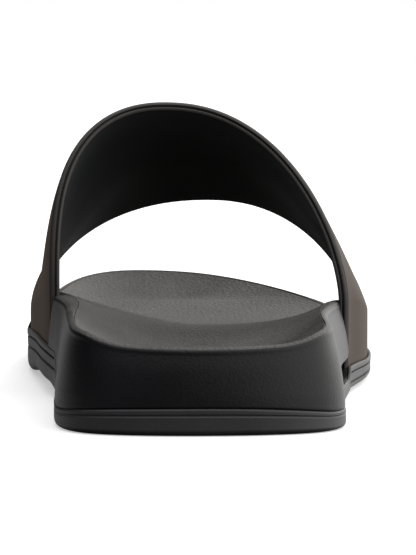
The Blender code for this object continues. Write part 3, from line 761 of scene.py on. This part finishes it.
# Each finish. Lengths are metres: cloud is the size of the slow drift, grain and pebble the size of the relief,
# bump is strength and height, and streak is width, length and share of the relief.
finishes = {
    # Compression-moulded EVA foam: a dense black skin with a fine dull grain
    "mouldedEva": {"dark": "#050506", "light": "#101012", "rough": (0.34, 0.46), "cloud": 0.030,
                   "grain": 0.0006, "pebble": 0.0009, "cells": 0.35, "bump": (0.50, 0.00018), "ior": 1.45,
                   "sockets": {"Specular IOR Level": 0.40}},
    # Moulded rubber: lighter than the foam, with a soft sheen
    "mouldedRubber": {"dark": "#2c2c2d", "light": "#3c3c3d", "rough": (0.42, 0.52), "cloud": 0.025,
                      "grain": 0.0007, "pebble": 0.0016, "cells": 0.15, "bump": (0.25, 0.00012), "ior": 1.52},
    # Embossed footbed foam: a dry pebbled grain that catches the light in grey and brown specks
    "pebbledFoam": {"dark": "#2b2927", "light": "#54514e", "rough": (0.46, 0.58), "cloud": 0.022,
                    "grain": 0.0007, "pebble": 0.0010, "cells": 0.60, "bump": (1.0, 0.00040), "ior": 1.48},
    # Coated synthetic leather: dark warm brown with fine streaks round the band and a warm bloom at low angles
    "coatedSkin": {"dark": "#1a130d", "light": "#2c2118", "rough": (0.48, 0.58), "cloud": 0.020,
                   "grain": 0.0005, "pebble": 0.0010, "cells": 0.35, "streak": (0.0006, 0.020, 0.6),
                   "bump": (0.35, 0.00012), "ior": 1.50,
                   "sockets": {"Specular IOR Level": 0.10, "Specular Tint": toLinear("#fff0e2"),
                               "Sheen Weight": 0.16, "Sheen Roughness": 0.4, "Sheen Tint": toLinear("#b88a62")}},
    # Painted highlight on the band's edge faces: a grey a little lighter than what covers it, standing in for the
    # light that catches them from the right
    "paintedEdgeHighlight": {"dark": "#312f2d", "light": "#413e3b", "rough": (0.45, 0.55), "cloud": 0.020,
                "grain": 0.0005, "pebble": 0.0009, "cells": 0.3, "bump": (0.3, 0.00010), "ior": 1.48},
    # Brushed lining over soft foam: the darkest face, dull, with a faint cool nap
    "brushedLining": {"dark": "#050606", "light": "#0e1010", "rough": (0.75, 0.90), "cloud": 0.018,
                      "grain": 0.0005, "pebble": 0.0009, "cells": 0.2, "bump": (0.45, 0.00015), "ior": 1.40,
                      "sockets": {"Sheen Weight": 0.10, "Sheen Roughness": 0.5, "Sheen Tint": toLinear("#a8b0ae")}},
}
material = {name: addMaterial(name, look) for name, look in finishes.items()}
print("finishes made")

pieces = {
    "outsole": (makeOutsole(material["mouldedRubber"]), "outsole"),
    "midsole": (makeMidsole(material["mouldedEva"], material["pebbledFoam"]), "midsole"),
    "footbed": (makeFootbed(material["pebbledFoam"]), "footbed"),
    # The band's edge faces take the painted highlight.
    "strap": (makeBand(material["coatedSkin"], material["brushedLining"], material["paintedEdgeHighlight"]), "strap"),
}
for node, (piece, slot) in pieces.items():
    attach(piece, "root")
    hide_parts(node)
    print(piece.name, len(piece.data.polygons), "faces")

# The stage: a pale floor, and a soft room that is bright behind, above and to the right, and dark to the left and
# on the camera's side. The light that the paper throws back is the room's lower half: strong to the right, weak
# to the left and weaker before the heel. What the camera sees past the floor is plain white.
stage = {
    "floor": "#f4f4f4",
    "floorSize": 6.0,
    "floorDrop": 0.00005,
    "floorRough": 0.9,
    "glow": 0.50,  # light of the lamps under the paper
    "top": (1.75, 1.75, 1.75),
    "topRise": (0.60, 0.98),  # the sines of the heights over which the top's light begins
    "horizon": (-0.02, 0.09),  # the same for the change from paper to room
    "bounce": (0.20, 1.15, 0.36),  # light from the paper below: before the heel, to the right and to the left
    "bounceTurn": (0.15, 1.30),  # radians round from the camera's side
    "bounceDip": (-0.60, -0.10),  # the sines of the dips over which it changes from least to whole
    "bounceLeast": 0.02,
    "round": (  # degrees round from the camera's side, to the right and on to the back: red, green and blue light
        (-180, (0.95, 0.92, 0.89)),
        (-177, (0.20, 0.18, 0.16)),
        (-170, (0.06, 0.05, 0.045)),
        (-158, (0.05, 0.042, 0.036)),
        (-140, (0.03, 0.03, 0.035)),
        (-100, (0.035, 0.035, 0.045)),
        (-60, (0.10, 0.10, 0.12)),
        (-35, (0.27, 0.27, 0.34)),
        (-20, (0.13, 0.135, 0.16)),
        (-8, (0.03, 0.033, 0.036)),
        (2, (0.03, 0.03, 0.03)),
        (10, (0.14, 0.14, 0.14)),
        (18, (0.55, 0.55, 0.55)),
        (32, (1.30, 1.30, 1.29)),
        (60, (1.60, 1.60, 1.58)),
        (110, (1.85, 1.83, 1.80)),
        (150, (2.3, 2.26, 2.22)),
        (168, (1.30, 1.27, 1.24)),
        (180, (0.95, 0.92, 0.89)),
    ),
}
half = stage["floorSize"] / 2
floorMesh = bpy.data.meshes.new("floor")
floorMesh.from_pydata([(-half, -half, 0), (half, -half, 0), (half, half, 0), (-half, half, 0)], [], [(0, 1, 2, 3)])
floor = bpy.data.objects.new("floor", floorMesh)
bpy.context.scene.collection.objects.link(floor)
floor.location.z = -stage["floorDrop"]
floor.visible_diffuse = floor.visible_glossy = False
paper = bpy.data.materials.new("mattPaper")  # a sheet of white background paper
paper.use_nodes = True
paperLook = {"Base Color": toLinear(stage["floor"]), "Roughness": stage["floorRough"],
             "Emission Color": toLinear(stage["floor"]), "Emission Strength": stage["glow"]}
for socket, value in paperLook.items():
    paper.node_tree.nodes["Principled BSDF"].inputs[socket].default_value = value
floorMesh.materials.append(paper)

world = bpy.data.worlds.new("softRoom")
bpy.context.scene.world = world
world.use_nodes = True
tree = world.node_tree
tree.nodes.clear()
direction = addNode(tree, "SeparateXYZ", {"Vector": addNode(tree, "TexCoord").outputs["Generated"]}).outputs
back = addNode(tree, "Math", {0: direction["Y"], 1: -1.0}, operation="MULTIPLY").outputs[0]
turn = addNode(tree, "Math", {0: direction["X"], 1: back}, operation="ARCTAN2").outputs[0]
share = addNode(tree, "MapRange", {"Value": turn, "From Min": -math.pi, "From Max": math.pi}).outputs["Result"]
ramp = addNode(tree, "ValToRGB", {"Fac": share})
elements = ramp.color_ramp.elements
elements.remove(elements[1])
for i, (degrees, light) in enumerate(stage["round"]):
    element = elements[0] if i == 0 else elements.new((degrees + 180) / 360)
    element.position, element.color = (degrees + 180) / 360, (*light, 1.0)

# Values eased from one to another over a range of the direction's turn or height.
before, right, left = stage["bounce"]
leftTurn = addNode(tree, "Math", {0: turn, 1: -1.0}, operation="MULTIPLY").outputs[0]
eased = {}
for name, value, (low, high), start, end in (
        ("rightward", turn, stage["bounceTurn"], before, right),
        ("leftward", leftTurn, stage["bounceTurn"], 0.0, left - before),
        ("dip", direction["Z"], stage["bounceDip"], stage["bounceLeast"], 1.0),
        ("room", direction["Z"], stage["horizon"], 0.0, 1.0),
        ("top", direction["Z"], stage["topRise"], 0.0, 1.0)):
    eased[name] = addNode(tree, "MapRange", {"Value": value, "From Min": low, "From Max": high, "To Min": start,
                                             "To Max": end}, interpolation_type="SMOOTHSTEP").outputs["Result"]
bounce = addNode(tree, "Math", {0: eased["rightward"], 1: eased["leftward"]}, operation="ADD").outputs[0]
bounce = addNode(tree, "Math", {0: bounce, 1: eased["dip"]}, operation="MULTIPLY").outputs[0]
below = addNode(tree, "CombineColor", {"Red": bounce, "Green": bounce, "Blue": bounce}).outputs[0]
room = addNode(tree, "Mix", {"Factor": eased["room"], "A": below, "B": ramp.outputs["Color"]},
               data_type="RGBA").outputs[2]
room = addNode(tree, "Mix", {"Factor": eased["top"], "A": room, "B": (*stage["top"], 1.0)},
               data_type="RGBA").outputs[2]
lit = addNode(tree, "Background", {"Color": room, "Strength": 1.0}).outputs[0]
plain = addNode(tree, "Background", {"Color": (1, 1, 1, 1), "Strength": 1.0}).outputs[0]
seen = addNode(tree, "LightPath").outputs["Is Camera Ray"]
both = addNode(tree, "MixShader", {0: seen, 1: lit, 2: plain}).outputs[0]
addNode(tree, "OutputWorld", {"Surface": both})
print("stage and light made")

# The camera stands where the photograph's stood, behind the heel and a hand's breadth over the floor.
view = {
    "place": (-0.0597, -1.362, 0.1408),
    "aim": (0.0005, 0.0, 0.0333),
    "lens": 287.0,
    "sensor": 36.0,
    "clip": (0.05, 50.0),
}
cameraData = bpy.data.cameras.new("camera")
camera = bpy.data.objects.new("camera", cameraData)
bpy.context.scene.collection.objects.link(camera)
camera.location = view["place"]
camera.rotation_euler = (Vector(view["aim"]) - Vector(view["place"])).to_track_quat("-Z", "Y").to_euler()
cameraData.sensor_width = view["sensor"]
cameraData.lens = view["lens"]
cameraData.clip_start, cameraData.clip_end = view["clip"]
bpy.context.scene.camera = camera
bpy.context.scene.view_settings.view_transform = "Standard"
print("camera placed")
